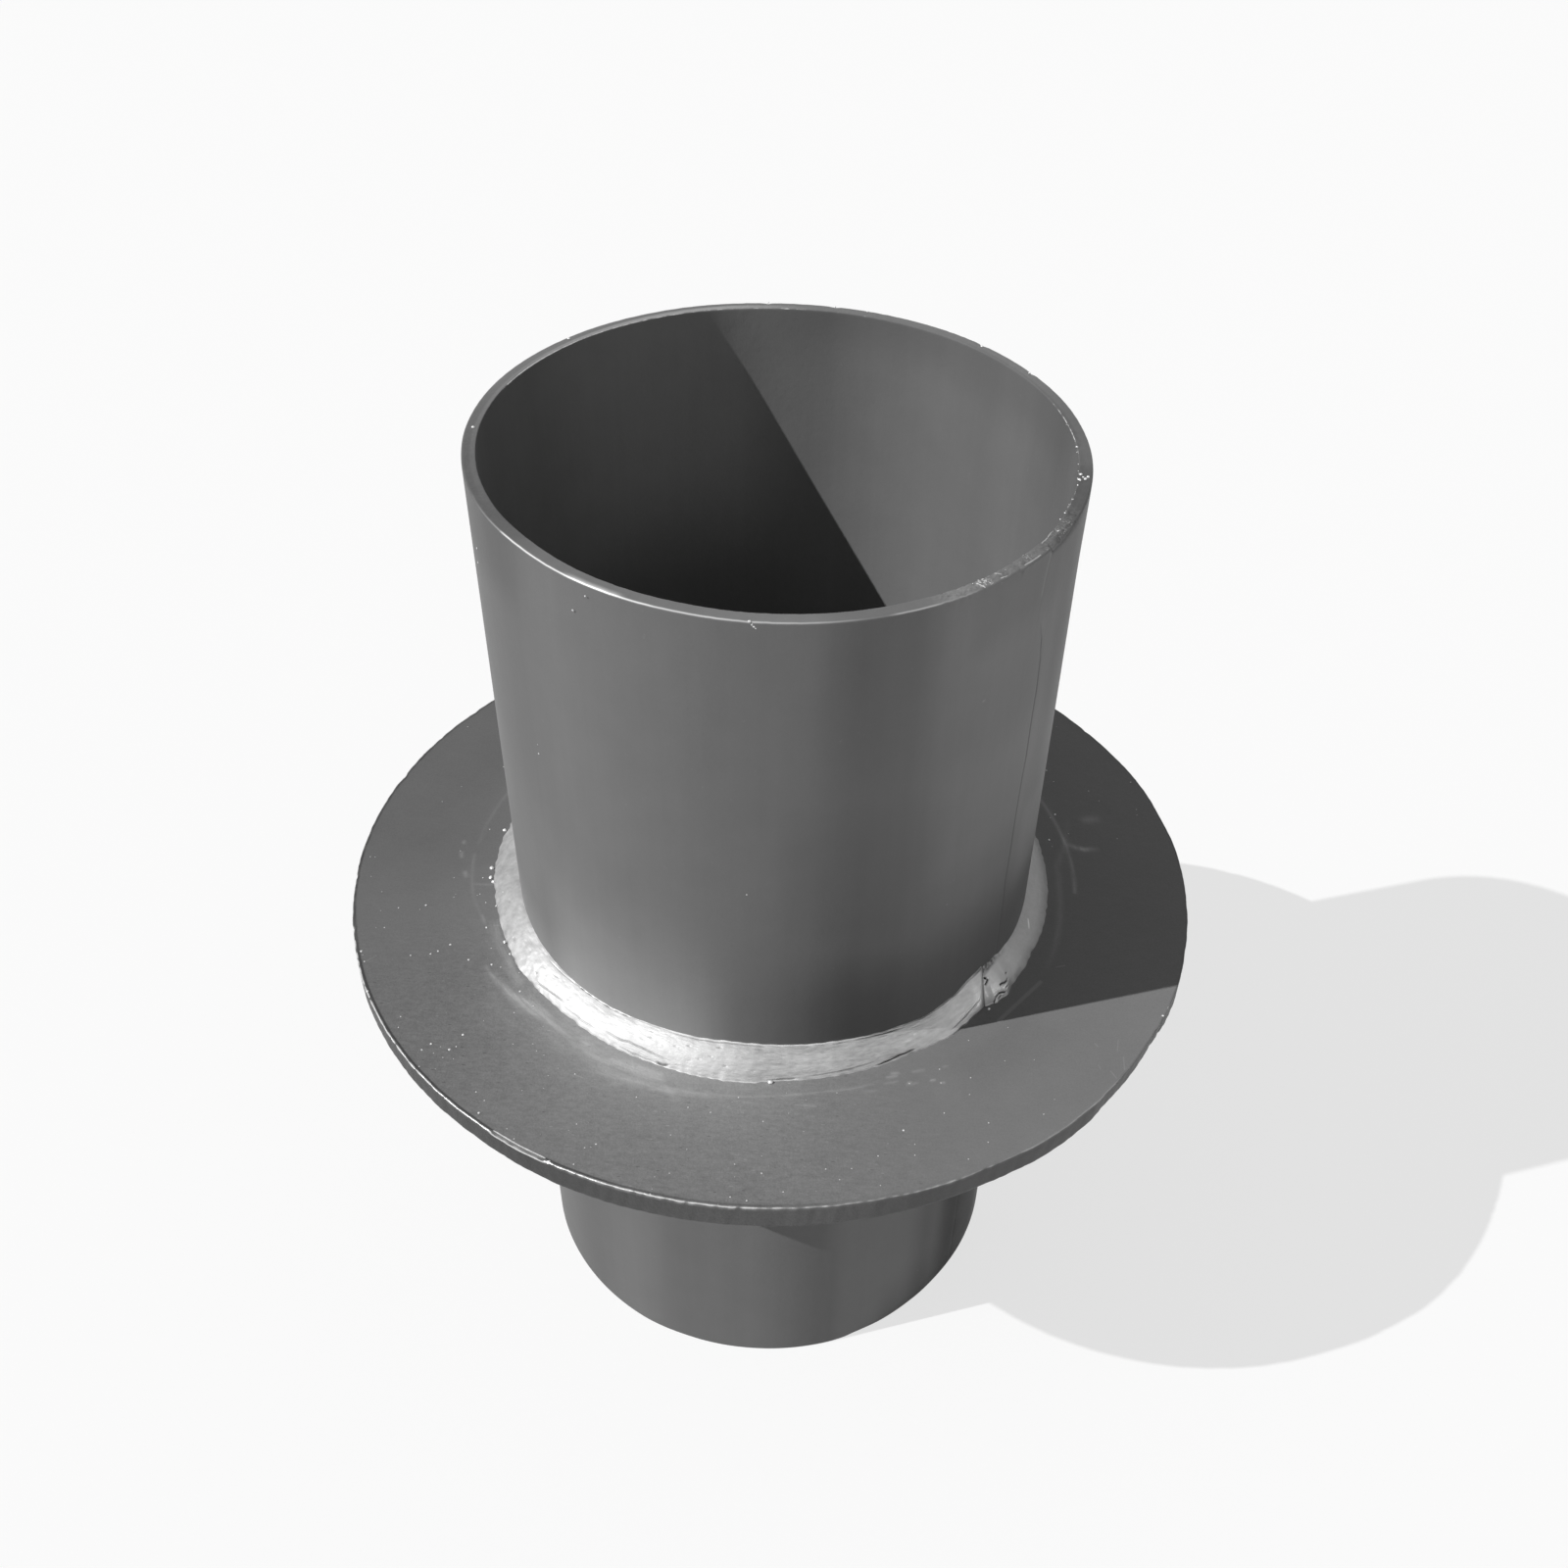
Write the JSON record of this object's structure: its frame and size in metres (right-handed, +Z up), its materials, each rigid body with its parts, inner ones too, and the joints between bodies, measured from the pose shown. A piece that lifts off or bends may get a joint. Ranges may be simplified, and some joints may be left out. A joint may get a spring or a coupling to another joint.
{
  "type": "puddle flange pipe",
  "caption": "Straight steel pipe with a flat ring plate fillet-welded around its middle, cast into a concrete wall as a watertight sleeve.",
  "frame": {"origin": "centre of the pipe's lower end, in the plane that it stands on", "axes": "+Z up along the pipe's axis, towards the upper end; +X and +Y in the plane of the ends, with the upper bead's lap at -40 degrees from +X"},
  "size_m": [0.3599, 0.36, 0.42],
  "materials": {
    "pipe_primer": "mid-grey primer on steel pipe, satin, worn to metal on the end rims",
    "plate_primer": "mid-grey primer on flame-cut plate, gritty, worn along its rim",
    "weld_metal": "bare weld metal, rough, pitted and wire-brushed"
  },
  "bodies": {
    "root": {"pipe": "pipe_primer", "puddle_flange": "plate_primer", "upper_weld": "weld_metal", "lower_weld": "weld_metal"}
  },
  "joints": []
}
